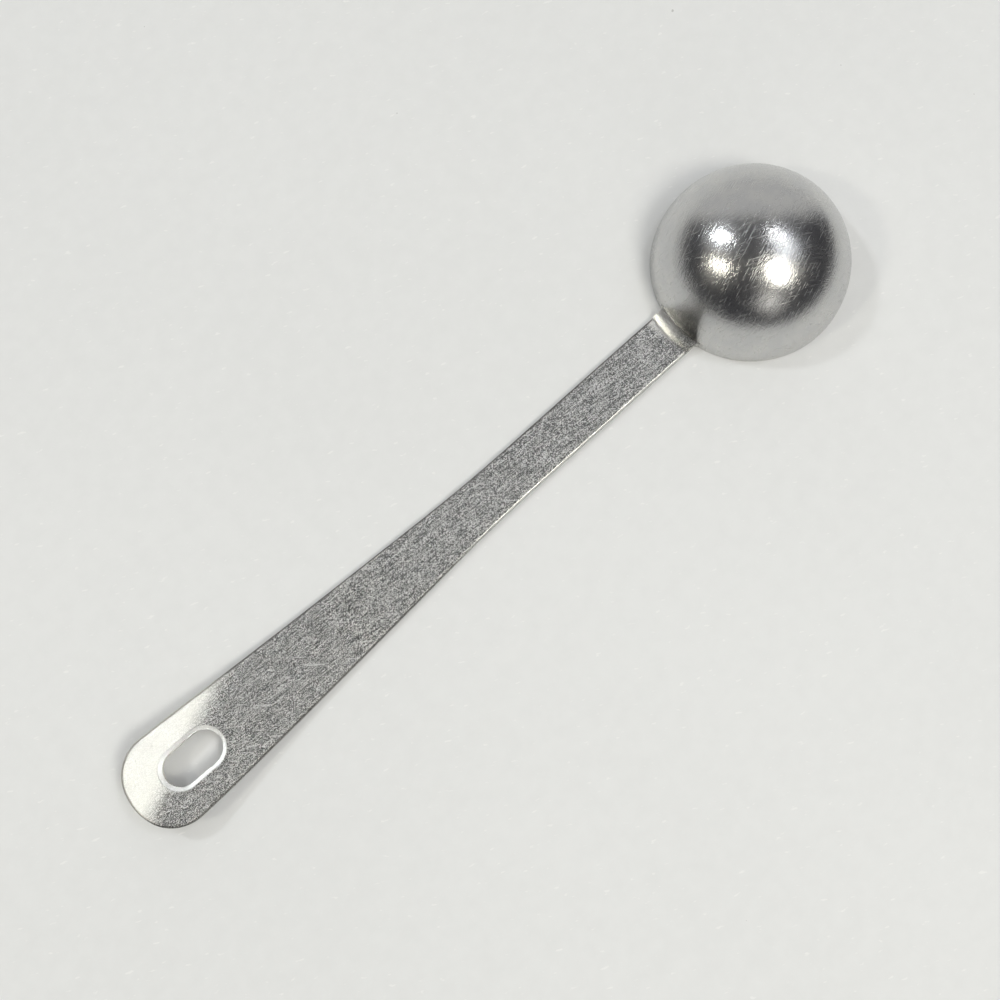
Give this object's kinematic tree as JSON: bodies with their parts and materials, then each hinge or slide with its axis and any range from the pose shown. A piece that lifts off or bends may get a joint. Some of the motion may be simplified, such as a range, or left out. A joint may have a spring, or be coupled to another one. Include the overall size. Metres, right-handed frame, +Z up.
{
  "type": "measuring spoon",
  "caption": "Stainless steel measuring spoon with a deep half-ball bowl and a long flat handle that flares to a rounded end with a hanging slot.",
  "frame": {"origin": "middle of the spoon's length, on the surface that it rests on, under the handle", "axes": "+X along the handle towards the bowl, +Y across it, +Z up; the spoon lies with its bowl upside down"},
  "size_m": [0.18, 0.04, 0.02],
  "materials": {
    "bowl_steel": "polished to a soft satin shine, with fine rubbing scratches",
    "handle_steel": "stamped sheet with a fine sparkling grain and light scratches",
    "weld_steel": "weld dressed smooth to the same satin as the handle"
  },
  "bodies": {
    "root": {"bowl": "bowl_steel", "handle": "handle_steel", "neck_weld": "weld_steel"}
  },
  "joints": []
}
